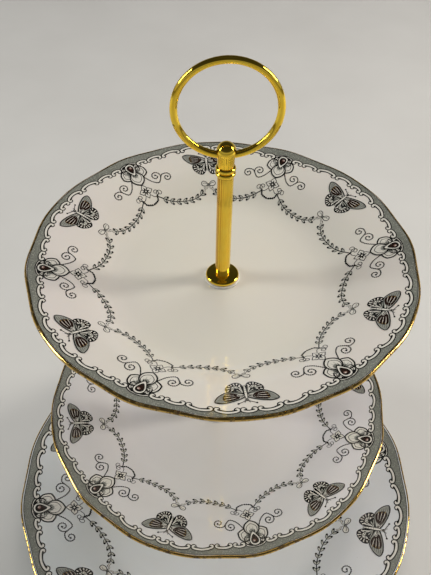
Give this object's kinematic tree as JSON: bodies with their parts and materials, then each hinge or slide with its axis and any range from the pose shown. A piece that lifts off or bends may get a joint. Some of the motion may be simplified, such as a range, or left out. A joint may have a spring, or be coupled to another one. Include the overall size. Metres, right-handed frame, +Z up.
{
  "type": "tiered cake stand",
  "caption": "Three-tier cake stand of lobed china plates on a polished gold-coloured screw-together stem with flange discs, washers and a ring handle.",
  "frame": {"origin": "on the stand's axis, on the table under the lowest plate's foot ring", "axes": "+Z up along the stem; +X to the right with the ring handle's plane facing the viewer; -Y towards the viewer"},
  "size_m": [0.2544, 0.2562, 0.3316],
  "materials": {
    "bottom_china": "glossy glaze with a grey transfer print and gilt edge",
    "middle_china": "glossy glaze with a grey transfer print and gilt edge",
    "top_china": "glossy glaze with a grey transfer print and gilt edge",
    "white_washer": "satin",
    "gold_metal": "polished"
  },
  "bodies": {
    "base": {"bottom_plate": "bottom_china", "bottom_plate_upper_washer": "white_washer", "bottom_plate_lower_washer": "white_washer"},
    "bolt": {"base_bolt": "gold_metal", "base_bolt_washer": "gold_metal"},
    "lower_stem": {"lower_foot_disc": "gold_metal", "lower_column": "gold_metal", "lower_seat_disc": "gold_metal", "lower_stud": "gold_metal"},
    "middle_tier": {"middle_plate": "middle_china", "middle_plate_upper_washer": "white_washer", "middle_plate_lower_washer": "white_washer"},
    "middle_stem": {"middle_foot_disc": "gold_metal", "middle_column": "gold_metal", "middle_seat_disc": "gold_metal", "upper_stud": "gold_metal"},
    "top_tier": {"top_plate": "top_china", "top_plate_upper_washer": "white_washer", "top_plate_lower_washer": "white_washer"},
    "handle": {"upper_foot_disc": "gold_metal", "upper_column": "gold_metal", "collar_lower_bead": "gold_metal", "collar_upper_bead": "gold_metal", "handle_ball": "gold_metal", "ring_handle": "gold_metal"}
  },
  "joints": [
    {"name": "base_bolt_turn", "type": "hinge", "parent": "base", "child": "bolt", "pos_m": [0, 0, 0.002], "axis": [0, 0, 1], "continuous": true},
    {"name": "lower_stem_turn", "type": "hinge", "parent": "base", "child": "lower_stem", "pos_m": [0, 0, 0.0094], "axis": [0, 0, 1], "continuous": true},
    {"name": "middle_plate_turn", "type": "hinge", "parent": "lower_stem", "child": "middle_tier", "pos_m": [0, 0, 0.1066], "axis": [0, 0, 1], "continuous": true},
    {"name": "middle_stem_turn", "type": "hinge", "parent": "lower_stem", "child": "middle_stem", "pos_m": [0, 0, 0.1076], "axis": [0, 0, 1], "continuous": true},
    {"name": "top_plate_turn", "type": "hinge", "parent": "middle_stem", "child": "top_tier", "pos_m": [0, 0, 0.2186], "axis": [0, 0, 1], "continuous": true},
    {"name": "handle_turn", "type": "hinge", "parent": "middle_stem", "child": "handle", "pos_m": [0, 0, 0.2196], "axis": [0, 0, 1], "continuous": true}
  ]
}
